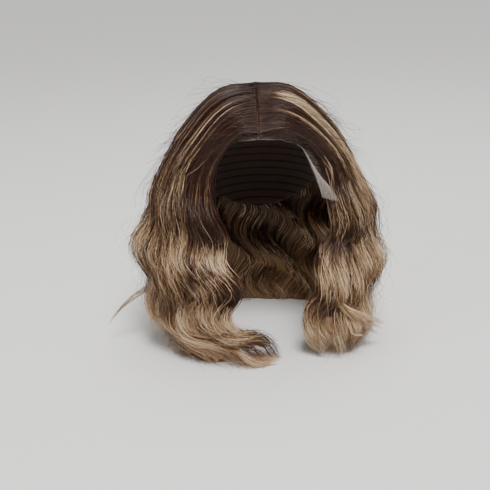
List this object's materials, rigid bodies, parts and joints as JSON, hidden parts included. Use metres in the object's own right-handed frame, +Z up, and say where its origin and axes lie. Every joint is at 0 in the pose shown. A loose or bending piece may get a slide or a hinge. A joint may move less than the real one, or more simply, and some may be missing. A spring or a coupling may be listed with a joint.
{
  "type": "lace-front wig",
  "caption": "Wavy shoulder-length wig with a centre parting, dark roots and honey-blond ends, on an open net cap with a sheer lace front, worn over a head.",
  "frame": {"origin": "inside of the cap's crown, where the top of a head sits", "axes": "+Z up, -Y out of the face opening, +X to the wearer's left"},
  "size_m": [0.3377, 0.249, 0.3066],
  "materials": {
    "net": "matt stretch net",
    "lace": "sheer matt lace",
    "hair": "silky hair, dark at the roots and blond at the ends"
  },
  "bodies": {
    "root": {"cap": "net", "lace_front": "lace", "parting_strip": "lace", "hair_right": "hair", "hair_left": "hair", "hair_back": "hair"}
  },
  "joints": []
}
